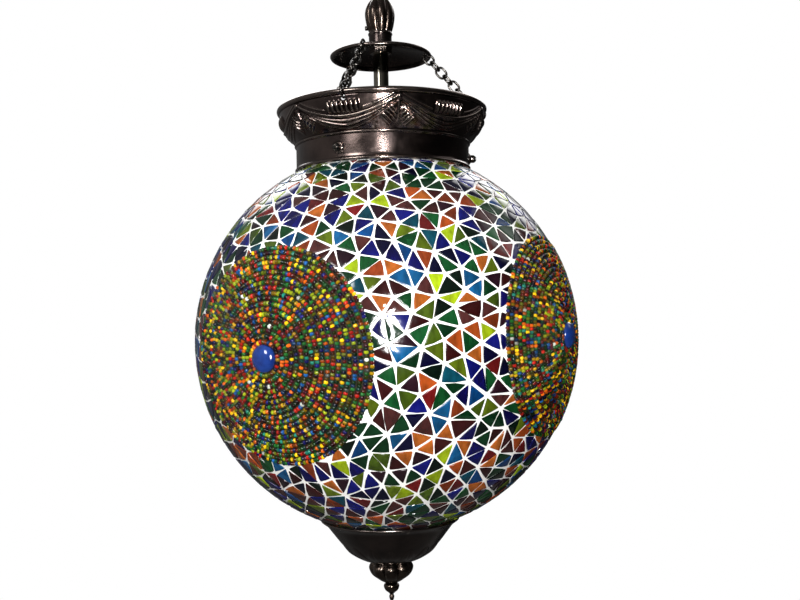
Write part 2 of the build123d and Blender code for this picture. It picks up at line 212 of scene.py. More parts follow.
def rounded(corners, bevel=0.25, steps=3, loop=True):
    """An outline with its corners rounded off."""
    points = np.array(corners, float)
    count = len(points)
    out = []
    for i, corner in enumerate(points):
        if not loop and i in (0, count - 1):
            out.append(corner)
            continue
        before, after = points[i - 1] - corner, points[(i + 1) % count] - corner
        reach = min(bevel, 0.45 * np.linalg.norm(before), 0.45 * np.linalg.norm(after))
        start = corner + before / np.linalg.norm(before) * reach
        end = corner + after / np.linalg.norm(after) * reach
        for t in np.linspace(0, 1, steps + 1):
            out.append((1 - t) ** 2 * start + 2 * t * (1 - t) * corner + t * t * end)
    return out


def curve(points, per=8):
    """A smooth line through the points."""
    p = np.array(points, float)
    p = np.concatenate([[2 * p[0] - p[1]], p, [2 * p[-1] - p[-2]]])
    out = []
    for i in range(1, len(p) - 2):
        for t in np.linspace(0, 1, per, endpoint=False):
            a = 2 * p[i]
            b = p[i + 1] - p[i - 1]
            c = 2 * p[i - 1] - 5 * p[i] + 4 * p[i + 1] - p[i + 2]
            d = -p[i - 1] + 3 * p[i] - 3 * p[i + 1] + p[i + 2]
            out.append(0.5 * (a + b * t + c * t * t + d * t**3))
    out.append(p[-2])
    return out


def arc(centre, radius, start, end, steps=10):
    """Points along an arc, with angles in degrees from outward towards up."""
    turns = np.radians(np.linspace(start, end, steps + 1))
    return [(centre[0] + radius * math.cos(a), centre[1] + radius * math.sin(a)) for a in turns]


def outward(azimuth, elevation=0.0):
    """The unit vector at an azimuth and elevation."""
    a, e = math.radians(azimuth), math.radians(elevation)
    return np.array([math.cos(e) * math.sin(a), -math.cos(e) * math.cos(a), math.sin(e)])


def unit(vector):
    """The vector at length one."""
    return vector / np.linalg.norm(vector)


def turned_to(shape, axis, origin=(0, 0, 0)):
    """A turned shape with its axis laid along a direction."""
    verts, faces = shape
    axis = unit(np.asarray(axis, float))
    side = unit(np.cross((0, 0, 1), axis)) if abs(axis[2]) < 0.99 else np.array([1.0, 0, 0])
    other = np.cross(axis, side)
    return verts @ np.array([side, other, axis]) + np.asarray(origin, float), faces


def wire(path, plane_normal, sides=14):
    """A round chain wire along an open flat path, with closed ends."""
    normal = unit(plane_normal)
    along = np.gradient(path, axis=0)
    along /= np.linalg.norm(along, axis=1)[:, None]
    across = np.cross(normal, along)
    turns = np.linspace(0, 2 * math.pi, sides, endpoint=False)
    ring = np.cos(turns)[None, :, None] * across[:, None] + np.sin(turns)[None, :, None] * normal
    verts = (path[:, None] + WIRE_R * ring).reshape(-1, 3)
    index = np.arange(len(path) * sides).reshape(-1, sides)
    ends = np.stack([index[0][::-1], index[-1]])
    return verts, outside_out(verts, [bands(index), ends])


def block(low, high, axes):
    """A box between two corners, in the axes given as rows."""
    corners = np.array([[x, y, z] for x in (0, 1) for y in (0, 1) for z in (0, 1)], float)
    verts = (np.asarray(low) + corners * (np.asarray(high) - np.asarray(low))) @ np.asarray(axes)
    ends = [[0, 1, 3, 2], [4, 6, 7, 5]]
    sides = [[0, 4, 5, 1], [2, 3, 7, 6], [0, 2, 6, 4], [1, 5, 7, 3]]
    quads = np.array(ends + sides)
    return verts, outside_out(verts, [quads])


def cut(piece, cutter_shape):
    """Take a closed shape out of a piece."""
    cutter = mesh_object("cutter", *cutter_shape, piece.data.materials[0], crease=0)
    modifier = piece.modifiers.new("cut", "BOOLEAN")
    modifier.operation = "DIFFERENCE"
    modifier.solver = "EXACT"
    modifier.object = cutter
    shown = piece.evaluated_get(bpy.context.evaluated_depsgraph_get())
    mesh = bpy.data.meshes.new_from_object(shown)
    piece.modifiers.clear()
    old = piece.data
    piece.data = mesh
    mesh.name = piece.name
    bpy.data.meshes.remove(old)
    bpy.data.objects.remove(cutter)
    mesh.set_sharp_from_angle(angle=math.radians(40))


def place(piece, body, slot, *nodes):
    """Join a finished piece to its body and hide the CAD nodes it stands for; the slot is not used.
    """
    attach(piece, body)
    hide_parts(*nodes)


# ---- Materials ----
def new_material(name):
    """A material, its node tree and its Principled shader."""
    made = bpy.data.materials.new(name)
    made.use_nodes = True
    tree = made.node_tree
    tree.nodes.clear()
    shader = tree.nodes.new("ShaderNodeBsdfPrincipled")
    output = tree.nodes.new("ShaderNodeOutputMaterial")
    tree.links.new(shader.outputs[0], output.inputs["Surface"])
    return made, tree, shader


def scaled_coords(tree, scale=(1, 1, 1)):
    """Object coordinates, stretched."""
    coords = tree.nodes.new("ShaderNodeTexCoord")
    mapping = tree.nodes.new("ShaderNodeMapping")
    mapping.inputs["Scale"].default_value = scale
    tree.links.new(coords.outputs["Object"], mapping.inputs["Vector"])
    return mapping.outputs[0]


def noise(tree, scale, detail=3.0, stretch=(1, 1, 1)):
    """A cloudy value about 0.5."""
    node = tree.nodes.new("ShaderNodeTexNoise")
    node.inputs["Scale"].default_value = scale
    node.inputs["Detail"].default_value = detail
    node.inputs["Roughness"].default_value = 0.55
    tree.links.new(scaled_coords(tree, stretch), node.inputs["Vector"])
    return node.outputs["Fac"]


def ramp(tree, value, stops):
    """A colour ramp of (position, colour) stops."""
    node = tree.nodes.new("ShaderNodeValToRGB")
    elements = node.color_ramp.elements
    while len(elements) < len(stops):
        elements.new(0.5)
    for element, (position, colour) in zip(elements, stops):
        element.position = position
        element.color = (*colour, 1)
    tree.links.new(value, node.inputs["Fac"])
    return node.outputs["Color"]


def spread(tree, value, low, high):
    """Map a value's middle range to low..high."""
    node = tree.nodes.new("ShaderNodeMapRange")
    node.inputs["From Min"].default_value = 0.3
    node.inputs["From Max"].default_value = 0.7
    node.inputs["To Min"].default_value = low
    node.inputs["To Max"].default_value = high
    tree.links.new(value, node.inputs["Value"])
    return node.outputs[0]


def mixed(tree, factor, a, b, kind="MIX"):
    """Mix two colours, each a socket or a constant."""
    node = tree.nodes.new("ShaderNodeMix")
    node.data_type = "RGBA"
    node.blend_type = kind
    for socket, value in ((node.inputs[0], factor), (node.inputs[6], a), (node.inputs[7], b)):
        if isinstance(value, bpy.types.NodeSocket):
            tree.links.new(value, socket)
        elif isinstance(value, tuple):
            socket.default_value = (*value, 1)
        else:
            socket.default_value = value
    return node.outputs[2]


def bump(tree, shader, *layers):
    """Stack bump layers of (height, strength, distance in metres)."""
    below = None
    for height, strength, distance in layers:
        node = tree.nodes.new("ShaderNodeBump")
        node.inputs["Strength"].default_value = strength
        node.inputs["Distance"].default_value = distance
        tree.links.new(height, node.inputs["Height"])
        if below:
            tree.links.new(below, node.inputs["Normal"])
        below = node.outputs[0]
    tree.links.new(below, shader.inputs["Normal"])


def metal(name, dark, light, worn, roughness=(0.25, 0.42), brushed=(1, 1, 1), grain=0.12):
    """A patinated metal: cloudy tone, worn edges, fine brushing."""
    made, tree, shader = new_material(name)
    shader.inputs["Metallic"].default_value = 1.0
    cloudy = ramp(tree, noise(tree, 55, 5), [(0.3, dark), (0.7, light)])
    geometry = tree.nodes.new("ShaderNodeNewGeometry")
    edge = ramp(tree, geometry.outputs["Pointiness"], [(0.505, (0, 0, 0)), (0.56, (0.6, 0.6, 0.6))])
    tree.links.new(mixed(tree, edge, cloudy, worn), shader.inputs["Base Color"])
    tree.links.new(spread(tree, noise(tree, 140, 4), *roughness), shader.inputs["Roughness"])
    bump(
        tree,
        shader,
        (noise(tree, 700, 2, brushed), grain, 0.0002),
        (noise(tree, 90, 3), 0.08, 0.0006),
    )
    return made


def plain(name, dark, light, roughness=(0.3, 0.5), scale=150, grain=0.1, **sockets):
    """A non-metal with slight mottling."""
    made, tree, shader = new_material(name)
    for key, value in sockets.items():
        shader.inputs[key.replace("_", " ")].default_value = value
    mottle = ramp(tree, noise(tree, scale, 4), [(0.3, dark), (0.7, light)])
    tree.links.new(mottle, shader.inputs["Base Color"])
    tree.links.new(spread(tree, noise(tree, scale * 2, 3), *roughness), shader.inputs["Roughness"])
    bump(tree, shader, (noise(tree, scale * 5, 3), grain, 0.0002))
    return made


def tinted_glass(name, roughness, streak, wave_scale, wave, shine=0.5):
    """Glossy glass whose colour is the piece's own tint, streaked and slightly wavy."""
    made, tree, shader = new_material(name)
    tint = tree.nodes.new("ShaderNodeAttribute")
    tint.attribute_name = "tint"
    faint, strong = (1 - streak,) * 3, (1 + streak,) * 3
    streaks = ramp(tree, noise(tree, 260, 5, (1, 1, 0.35)), [(0.3, faint), (0.7, strong)])
    streaked = mixed(tree, 1.0, tint.outputs["Color"], streaks, "MULTIPLY")
    tree.links.new(streaked, shader.inputs["Base Color"])
    tree.links.new(spread(tree, noise(tree, 300, 2), *roughness), shader.inputs["Roughness"])
    shader.inputs["IOR"].default_value = 1.52
    shader.inputs["Specular IOR Level"].default_value = shine
    bump(tree, shader, (noise(tree, wave_scale, 2), wave, 0.0004))
    return made


# A metal's colours are its dark and light patina and its worn edges, then comes its roughness.
BRONZE = metal(
    "antique_bronze",
    (0.052, 0.040, 0.038),
    (0.135, 0.100, 0.089),
    (0.42, 0.36, 0.31),
    (0.12, 0.24),
)
TURNED_BRONZE = metal(
    "turned_bronze",
    (0.045, 0.036, 0.034),
    (0.110, 0.084, 0.076),
    (0.40, 0.34, 0.30),
    (0.13, 0.24),
    brushed=(1, 1, 14),
)
CAST_BRONZE = metal(
    "cast_bronze",
    (0.035, 0.027, 0.024),
    (0.100, 0.074, 0.058),
    (0.32, 0.26, 0.21),
    (0.16, 0.30),
)
TUBE_METAL = metal(
    "tube_metal",
    (0.12, 0.11, 0.09),
    (0.22, 0.205, 0.17),
    (0.5, 0.46, 0.38),
    (0.07, 0.13),
    brushed=(1, 1, 9),
    grain=0.04,
)
CHAIN_METAL = metal(
    "chain_metal",
    (0.012, 0.011, 0.010),
    (0.030, 0.027, 0.025),
    (0.12, 0.11, 0.10),
    (0.20, 0.32),
)
SCREW_STEEL = metal(
    "screw_steel",
    (0.02, 0.018, 0.017),
    (0.05, 0.045, 0.042),
    (0.24, 0.22, 0.2),
    (0.16, 0.3),
)
PLATED_STEEL = metal("plated_steel", (0.42, 0.41, 0.39), (0.6, 0.59, 0.56), (0.7, 0.7, 0.68))
BRASS = metal("brass", (0.42, 0.27, 0.10), (0.62, 0.43, 0.17), (0.75, 0.6, 0.3))
ALUMINIUM = metal("aluminium", (0.5, 0.5, 0.5), (0.66, 0.66, 0.66), (0.8, 0.8, 0.8))

RUBBER = plain("bush_rubber", (0.012, 0.012, 0.012), (0.022, 0.021, 0.02), (0.55, 0.7))
CORE_BROWN = plain("core_brown", (0.10, 0.04, 0.018), (0.14, 0.06, 0.028), (0.3, 0.4))
CORE_BLUE = plain("core_blue", (0.02, 0.07, 0.26), (0.03, 0.10, 0.34), (0.3, 0.4))
PHENOLIC = plain("holder_phenolic", (0.012, 0.010, 0.009), (0.026, 0.022, 0.019), (0.25, 0.4))
GROUT = plain("grout", (0.80, 0.79, 0.75), (0.93, 0.92, 0.89), (0.6, 0.8), 120, 0.35)
BULB_GLASS = plain(
    "bulb_glass",
    (0.93, 0.95, 0.95),
    (0.97, 0.98, 0.98),
    (0.02, 0.05),
    grain=0.02,
    Transmission_Weight=1.0,
    IOR=1.5,
)
GLOBE_GLASS = plain(
    "globe_glass",
    (0.86, 0.93, 0.91),
    (0.92, 0.97, 0.95),
    (0.08, 0.16),
    60,
    0.1,
    Transmission_Weight=0.7,
    IOR=1.5,
)
TILE_GLASS = tinted_glass("tile_glass", (0.05, 0.14), 0.42, 260, 0.16)
BEAD_GLASS = tinted_glass("bead_glass", (0.05, 0.12), 0.22, 900, 0.1, 0.3)
# Glue under the beads. It is real glue, but its near-black colour paints shade into the gaps
# between the bead rows.
GLUE_WITH_GAP_SHADE = plain(
    "bead_glue_gap_shade",
    (0.008, 0.007, 0.004),
    (0.020, 0.017, 0.008),
    (0.5, 0.7),
    400,
    0.3,
    Specular_IOR_Level=0.1,
)
CABOCHON = plain(
    "cabochon_glass",
    (0.003, 0.012, 0.09),
    (0.008, 0.040, 0.22),
    (0.03, 0.08),
    110,
    0.03,
    IOR=1.55,
    Coat_Weight=0.6,
)


# ---- Hanger ----
def lobes(count, depth, full_r, first=0.0):
    """Relief of round lobes between sharp grooves, fading with the radius."""
    def relief(theta, r, z):
        wave = np.abs(np.cos(count * (theta - math.radians(first)) / 2))
        return -depth * (r / full_r) ** 1.5 * (1 - wave**0.75)
    return relief


def hanging_eye():
    """A flat ring on a threaded stem, with a nut that closes the knob."""
    section = [(EYE_BORE_R, -2.0), (EYE_OUTER_R, -2.0), (EYE_OUTER_R, 2.0), (EYE_BORE_R, 2.0)]
    eye = turned_to(turned(rounded(section, 0.9, 6), 96), (0, 1, 0), (0, 0, EYE_HEIGHT))
    stem = turned(rounded([(0, 225.2), (2.5, 225.2), (2.5, 233.0), (0, 233.6)], 0.2, 2, False), 48)
    nut_side = [(0, 230.6), (4.3, 230.6), (4.3, 232.2), (2.5, 233.4), (0, 233.5)]
    nut = turned(rounded(nut_side, 0.4, 4, False), 48)
    return joined([eye, stem, nut])


def fluted_knob():
    """A lobed pear shape."""
    foot = [(7.7, KNOB_BASE), (9.1, 210.3), (KNOB_R, 217.0)]
    head = [(9.6, 221.6), (7.9, 225.6), (5.2, 229.0), (3.6, 230.7)]
    side = curve(foot + head, 9)
    outline = [(0, KNOB_BASE), (7.0, KNOB_BASE), *side, (3.2, KNOB_TOP), (0, KNOB_TOP)]
    return turned(outline, 360, lobes(LOBE_COUNT, 1.5, KNOB_R, 11.0))


place(mesh_object("eye", *hanging_eye(), CAST_BRONZE), "hanger", "bronze", "hanging_eye")
place(mesh_object("knob", *fluted_knob(), CAST_BRONZE, 60), "hanger", "bronze", "fluted_knob")

set_screw_side = rounded([(0, 4.1), (1.5, 4.1), (1.5, 9.9), (1.1, 10.2), (0, 10.2)], 0.2, 3, False)
set_screw = mesh_object(
    "set_screw",
    *turned_to(turned(set_screw_side, 40), outward(-90), (0, 0, SET_SCREW_HEIGHT)),
    SCREW_STEEL,
)
slot_low = (9.5, -0.25, SET_SCREW_HEIGHT - 4.0)
slot_high = (12.0, 0.25, SET_SCREW_HEIGHT + 4.0)
cut(set_screw, block(slot_low, slot_high, [(-1, 0, 0), (0, 1, 0), (0, 0, 1)]))
place(set_screw, "hanger", "screw_steel", "knob_set_screw")

neck_foot = [(5.05, 195.3), (8.3, 195.3), (8.3, 196.6), (7.7, 197.2)]
neck_head = [(7.7, 197.3), (7.7, 203.6), (8.15, 204.1), (8.15, 205.2), (7.6, 205.9), (5.05, 205.9)]
neck_outline = rounded(neck_foot, 0.3, 3, False) + rounded(neck_head, 0.3, 3, False)
neck = turned(neck_outline, 96)
place(mesh_object("neck", *neck, TURNED_BRONZE), "hanger", "bronze", "knob_neck")


def disc_height(r):
    """Height of the disc's upper face, on one arc from the tube to the rim."""
    return DISC_TOP - DISC_DROP * (r / DISC_DROP_R) ** 2


LINK_PITCH = (math.dist(TOP_LINK, END_RING) - END_RING_R + WIRE_R) / (LINK_COUNT - 0.5)
LINK_STRAIGHT = LINK_PITCH + LINK_PLAY - LINK_INNER_WIDTH
LINK_BEND_R = LINK_INNER_WIDTH / 2 + WIRE_R
CHAIN_HOLE_RING = TOP_LINK[0] - LINK_STRAIGHT / 2 * math.cos(math.pi / 4) - LINK_BEND_R

dome = [(r, disc_height(r)) for r in np.linspace(5.1, 31.2, 24)]
dome_under = [(r, height - DISC_SHEET) for r, height in dome[::-1]]
disc_outline = dome + arc(DISC_BEAD_RING, DISC_BEAD_R, 120, -150, 20) + dome_under
disc = mesh_object("disc", *turned(disc_outline, 240), TURNED_BRONZE)
for azimuth in CHAIN_AZIMUTHS:
    drill_points, drill_faces = turned([(0, 184.0), (1.5, 184.0), (1.5, 200.0), (0, 200.0)], 32)
    cut(disc, (drill_points + outward(azimuth) * CHAIN_HOLE_RING, drill_faces))
place(disc, "hanger", "bronze", "canopy_disc")

tube_foot = [(PIPE_BORE_R, PIPE_BOTTOM), (PIPE_R, PIPE_BOTTOM)]
tube_head = [(PIPE_R, PIPE_TOP), (PIPE_BORE_R, PIPE_TOP)]
tube = turned(rounded(tube_foot + tube_head, 0.25), 96)
place(mesh_object("tube", *tube, TUBE_METAL), "hanger", "tube_metal", "suspension_tube")


# ---- Chains ----
def link_path():
    """An open oval in the XY plane, starting and ending beside a narrow seam on one long side."""
    bends = []
    for side in (1, -1):
        for turn in np.radians(np.linspace(-90, 90, 13)):
            reach = LINK_STRAIGHT / 2 + LINK_BEND_R * math.cos(turn)
            bends.append((side * reach, side * LINK_BEND_R * math.sin(turn), 0))
    return np.array([(LINK_SEAM, -LINK_BEND_R, 0), *bends, (-LINK_SEAM, -LINK_BEND_R, 0)])


def chain_shape(azimuth):
    """Oval links, each a quarter turn from the last, and an end ring, in a straight line."""
    start = outward(azimuth) * TOP_LINK[0] + (0, 0, TOP_LINK[1])
    end = outward(azimuth) * END_RING[0] + (0, 0, END_RING[1])
    along = unit(end - start)
    normal = unit(np.cross(along, (0, 0, 1)))
    side = np.cross(normal, along)
    oval = link_path()
    parts = []
    for n in range(LINK_COUNT):
        twist = math.radians(90.0 * n)
        flat = math.cos(twist) * side + math.sin(twist) * normal
        centre = start + along * n * LINK_PITCH
        path = centre + oval[:, :1] * along + oval[:, 1:2] * flat
        parts.append(wire(path, np.cross(along, flat)))
    turns = np.radians(np.linspace(END_RING_SEAM, 360 - END_RING_SEAM, 49))[:, None]
    ring = end + END_RING_R * (np.cos(turns) * side + np.sin(turns) * along)
    parts.append(wire(ring, normal))
    return joined(parts)


for number, azimuth in enumerate(CHAIN_AZIMUTHS, 1):
    links = mesh_object(f"chain_links_{number}", *chain_shape(azimuth), CHAIN_METAL)
    place(links, f"chain_{number}_body", "chain_metal", f"chain_{number}")


# ---- Collar ----
COLLAR_NECK_R = 57.5
FLARE_FOOT = 129.8
SWAG_PERIOD = math.radians(60)
KNOT_AZIMUTH = math.radians(9)
BAND_R = 67.0
ROPE_SAG_Z = 137.0
ROPE_RISE = 11.0
KNOT_Z = 147.2
TAIL_MIDDLE = (5.6, 137.3)
TAIL_LEAN = math.radians(38)
TAIL_PLEAT = 2.15
PETAL_PITCH = 3.1
PETAL_Z = 142.9
RELIEF_LIMIT = 1.9


def hump(distance, width):
    """A round-topped ridge across a distance."""
    return np.clip(1 - (distance / width) ** 2, 0, 1) ** 0.7


def drapery(theta, r, z):
    """Height of the chased swags, knots, tails and petals, in millimetres."""
    u = (theta - KNOT_AZIMUTH + SWAG_PERIOD / 2) % SWAG_PERIOD - SWAG_PERIOD / 2
    x = np.abs(u) * BAND_R
    half = SWAG_PERIOD / 2 * BAND_R
    rope_z = ROPE_SAG_Z + ROPE_RISE * (1 - x / half) ** 2
    rope = 1.35 * hump(z - rope_z, 1.25)

    drop = 2.0 + 3.6 * (x / half)
    cloth = hump(z - (rope_z - 1.2 - drop / 2), drop / 2 + 0.9)
    pleats = 0.75 + 0.42 * np.cos(2 * math.pi * (z - rope_z) / (drop / 2.6 + 0.25))
    folds = cloth * pleats * np.clip((z - FLARE_FOOT - 0.1) / 1.2, 0, 1)

    knot = 1.9 * hump(np.hypot(x, z - KNOT_Z), 2.3)
    spine = 1.4 * hump(x, 1.0) * hump(z - 140.5, 7.5)
    tail_x, tail_z = x - TAIL_MIDDLE[0], z - TAIL_MIDDLE[1]
    across = tail_z * math.cos(TAIL_LEAN) - tail_x * math.sin(TAIL_LEAN)
    lengthwise = tail_z * math.sin(TAIL_LEAN) + tail_x * math.cos(TAIL_LEAN)
    leaf = hump(across, 5.4) * hump(lengthwise, 4.6)
    tails = leaf * (1.05 + 0.75 * np.cos(2 * math.pi * across / TAIL_PLEAT))

    from_middle = half - x
    local = (from_middle + PETAL_PITCH / 2) % PETAL_PITCH - PETAL_PITCH / 2
    petals = 1.6 * hump(local, 1.35) * hump(z - PETAL_Z, 3.9) * (from_middle < 3.5 * PETAL_PITCH)
    beside_petals = (x > 2.5) * (from_middle > 4.2 * PETAL_PITCH)
    tucks = 0.5 * hump(z - (rope_z + 3.0), 0.8) * beside_petals
    raised = np.maximum.reduce([rope, folds, knot, spine, tails, petals, tucks])
    return np.clip(raised, 0, RELIEF_LIMIT)


flare = curve([(57.9, FLARE_FOOT), (61.0, 133.3), (64.6, 138.0), (67.1, 143.0), (68.4, 149.2)], 16)
inner_flare = curve([(66.9, 149.9), (65.7, 143.4), (63.2, 138.4), (59.6, 133.6), (56.3, 129.6)], 4)
neck_wall = [(COLLAR_NECK_R, z) for z in np.linspace(114.2, 127.6, 9)]
collar_outline, collar_mask = flagged(
    (arc((57.4, 112.6), 1.1, -150, 70, 12), 0),
    (neck_wall, 0),
    (arc((57.7, 128.9), 0.9, -75, 50, 8), 0),
    (flare, 1),
    ([(68.15, 149.75)], 0),
    (arc((68.1, 151.6), 1.9, -70, 235, 22), 0),
    (inner_flare, 0),
    ([(56.2, 120.0), (56.2, 114.0)], 0),
)
collar = mesh_object("collar_shell", *turned(collar_outline, 840, drapery, collar_mask), BRONZE, 50)
for azimuth in CHAIN_AZIMUTHS:
    chain_hole = turned([(0, 62.0), (1.7, 62.0), (1.7, 74.0), (0, 74.0)], 32)
    cut(collar, turned_to(chain_hole, outward(azimuth), (0, 0, CHAIN_HOLE_HEIGHT)))
for azimuth in SCREW_AZIMUTHS:
    screw_hole = turned([(0, 50.0), (1.8, 50.0), (1.8, 62.0), (0, 62.0)], 32)
    cut(collar, turned_to(screw_hole, outward(azimuth), (0, 0, SCREW_HEIGHT)))
place(collar, "lamp_body", "bronze", "collar")

boss_side = [(1.55, 56.9), (4.1, 56.9), (4.1, 57.9), (3.5, 58.5), (3.1, 58.9), (1.55, 58.9)]
boss = turned(rounded(boss_side, 0.25), 48)
bosses = [turned_to(boss, outward(azimuth), (0, 0, SCREW_HEIGHT)) for azimuth in SCREW_AZIMUTHS]
place(mesh_object("bosses", *joined(bosses), BRONZE), "lamp_body", "bronze", "screw_bosses")

screw_side = [(1.1, 52.4), (1.5, 52.8), (1.5, 59.1), (2.6, 59.1), (2.6, 61.0)]
screw_dome = arc((0, 60.2), 2.75, 20, 90, 9)
screw_shank = [(0, 52.4), *rounded(screw_side, 0.15, 2, False)[1:]]
screw_outline = [*screw_shank, *screw_dome[:-1], (0, screw_dome[-1][1])]
for number, azimuth in enumerate(SCREW_AZIMUTHS, 1):
    radial = outward(azimuth)
    tangent = np.cross((0, 0, 1), radial)
    screw_shape = turned_to(turned(screw_outline, 56), radial, (0, 0, SCREW_HEIGHT))
    screw = mesh_object(f"screw_{number}_head", *screw_shape, SCREW_STEEL)
    slot_low = (61.9, -4.0, SCREW_HEIGHT - SCREW_SLOT)
    slot_high = (64.0, 4.0, SCREW_HEIGHT + SCREW_SLOT)
    cut(screw, block(slot_low, slot_high, [radial, tangent, (0, 0, 1)]))
    place(screw, f"screw_{number}", "screw_steel", f"thumb_screw_{number}")


# ---- Globe ----
def sphere_arc(radius, low_r, high_r, steps):
    """Outline of a sphere from a low opening to a high opening."""
    low, high = -math.acos(low_r / radius), math.acos(high_r / radius)
    return [(radius * math.cos(a), radius * math.sin(a)) for a in np.linspace(low, high, steps)]


def trowelled(theta, r, z):
    """Slight unevenness of the grout."""
    a = np.sin(9 * theta + 0.11 * z) * np.sin(0.21 * z + 1.3)
    b = np.sin(23 * theta - 0.17 * z) * np.sin(0.37 * z)
    return 0.03 * a + 0.03 * b


grout_outline, grout_mask = flagged(
    (sphere_arc(GROUT_R, *GROUT_EDGES, 150), 1),
    (sphere_arc(GROUT_INNER_R, *GROUT_EDGES, 40)[::-1], 0),
)
grout = turned(grout_outline, 300, trowelled, grout_mask)
place(mesh_object("grout_shell", *grout, GROUT), "lamp_body", "grout", "grout_layer")


# ---- Tiles ----
TILE_CORNERS = 1350
GROUT_GAP = 1.3
TILE_OVERHANG = 0.3
TILE_MIN_AREA = 7.0
TILE_EDGE_LOW_Z = -math.sqrt(TILE_TOP_R**2 - 31.0**2)
TILE_EDGE_HIGH_Z = math.sqrt(TILE_TOP_R**2 - 55.5**2)
TILE_RIM = ((0.0, TILE_FOOT_R), (0.0, 124.62), (0.09, 124.84), (0.3, 124.97), (0.65, 125.02))
MEDALLION_AXES = [(outward(a, e), half) for a, e, half in MEDALLIONS]
# Each colour's share of the tiles, and its shades.
TILE_COLOURS = {
    "cobalt": (0.23, [(0.0025, 0.002, 0.042), (0.003, 0.004, 0.075), (0.001, 0.001, 0.011)]),
    "azure": (0.10, [(0.002, 0.026, 0.094), (0.004, 0.050, 0.13), (0.002, 0.032, 0.050)]),
    "green": (0.20, [(0.0015, 0.017, 0.005), (0.003, 0.037, 0.009), (0.001, 0.004, 0.002)]),
    "lime": (0.12, [(0.057, 0.083, 0.004), (0.19, 0.26, 0.005), (0.031, 0.053, 0.004)]),
    "orange": (0.13, [(0.22, 0.038, 0.006), (0.12, 0.020, 0.005), (0.25, 0.063, 0.009)]),
    "maroon": (0.19, [(0.021, 0.003, 0.003), (0.011, 0.003, 0.006), (0.036, 0.010, 0.009)]),
    "red": (0.03, [(0.090, 0.005, 0.005), (0.060, 0.005, 0.005)]),
}


def scattered_points(count, rounds=26):
    """Points spread over the unit sphere, even but irregular."""
    points = rng.normal(size=(count, 3))
    points /= np.linalg.norm(points, axis=1)[:, None]
    spacing = math.sqrt(4 * math.pi / count)
    batch = 215
    for _ in range(rounds):
        push = np.zeros_like(points)
        for first in range(0, count, batch):
            gap = points[first:first + batch, None] - points[None]
            squared = (gap**2).sum(-1) + 1e-9
            strength = np.exp(-squared / spacing**2 * 1.1) / np.sqrt(squared)
            push[first:first + batch] = (gap * strength[..., None]).sum(1)
        points += push * spacing * 0.22
        points /= np.linalg.norm(points, axis=1)[:, None]
    return points


def triangulated(points):
    """The triangles of the points' convex hull."""
    bm = bmesh.new()
    for point in points:
        bm.verts.new(point)
    hull = bmesh.ops.convex_hull(bm, input=bm.verts)
    sides = [item for item in hull["geom"] if isinstance(item, bmesh.types.BMFace)]
    triangles = sorted([tuple(corner.co) for corner in side.verts] for side in sides)
    bm.free()
    return np.array(triangles)


def clipped(polygon, normal, limit):
    """The part of a flat convex polygon where normal . point <= limit."""
    out = []
    for i, point in enumerate(polygon):
        following = polygon[(i + 1) % len(polygon)]
        here, there = normal @ point - limit, normal @ following - limit
        if here <= 0:
            out.append(point)
        if here * there < 0:
            out.append(point + (following - point) * here / (here - there))
    return out


def polygon_area(polygon):
    """Area of a flat polygon, positive when it runs anticlockwise."""
    p = np.array(polygon)
    following = np.roll(p, -1, 0)
    return 0.5 * np.sum(p[:, 0] * following[:, 1] - p[:, 1] * following[:, 0])


def softened(polygon, bulge):
    """A polygon with rounded corners and slightly convex sides."""
    out = []
    count = len(polygon)
    for i, corner in enumerate(polygon):
        before, after = polygon[i - 1] - corner, polygon[(i + 1) % count] - corner
        long_before, long_after = np.linalg.norm(before), np.linalg.norm(after)
        reach = min(0.8, 0.3 * long_before, 0.3 * long_after)
        start, end = corner + before / long_before * reach, corner + after / long_after * reach
        for t in (0.0, 0.5, 1.0):
            out.append((1 - t) ** 2 * start + 2 * t * (1 - t) * corner + t * t * end)
        side = np.array([after[1], -after[0]]) / long_after
        out.append(corner + after * 0.5 + side * bulge * long_after)
    return np.array(out)


def cell_outline(triangle, side, other, middle, gap, turn, shift):
    """A triangle laid flat, less its grout, then turned and moved, or None if nothing is left."""
    flat = [np.array([c @ side, c @ other]) * TILE_TOP_R / (c @ middle) for c in triangle]
    if polygon_area(flat) < 0:
        flat.reverse()
    cell = list(flat)
    for i in range(3):
        edge = flat[(i + 1) % 3] - flat[i]
        normal = np.array([edge[1], -edge[0]]) / np.linalg.norm(edge)
        cell = clipped(cell, normal, normal @ flat[i] - gap)
        if len(cell) < 3:
            return None
    centre = np.mean(cell, 0)
    spin = np.array([[math.cos(turn), -math.sin(turn)], [math.sin(turn), math.cos(turn)]])
    return [spin @ (p - centre) + centre + shift for p in cell]


def nipped(cell, side, other, middle):
    """An outline cut at the globe's openings and the medallions, or None if too small."""
    limits = [(np.array([0, 0, 1.0]), TILE_EDGE_HIGH_Z), (np.array([0, 0, -1.0]), -TILE_EDGE_LOW_Z)]
    for axis, half in MEDALLION_AXES:
        if axis @ middle > math.cos(math.radians(half + 9)):
            limits.append((axis, TILE_TOP_R * math.cos(math.radians(half)) + TILE_OVERHANG))
    for axis, limit in limits:
        normal = np.array([axis @ side, axis @ other])
        cell = clipped(cell, normal, limit - axis @ middle * TILE_TOP_R)
        if len(cell) < 3:
            return None
    kept = [p for i, p in enumerate(cell) if np.linalg.norm(p - cell[i - 1]) > 0.5]
    if len(kept) < 3 or polygon_area(kept) < TILE_MIN_AREA:
        return None
    return kept


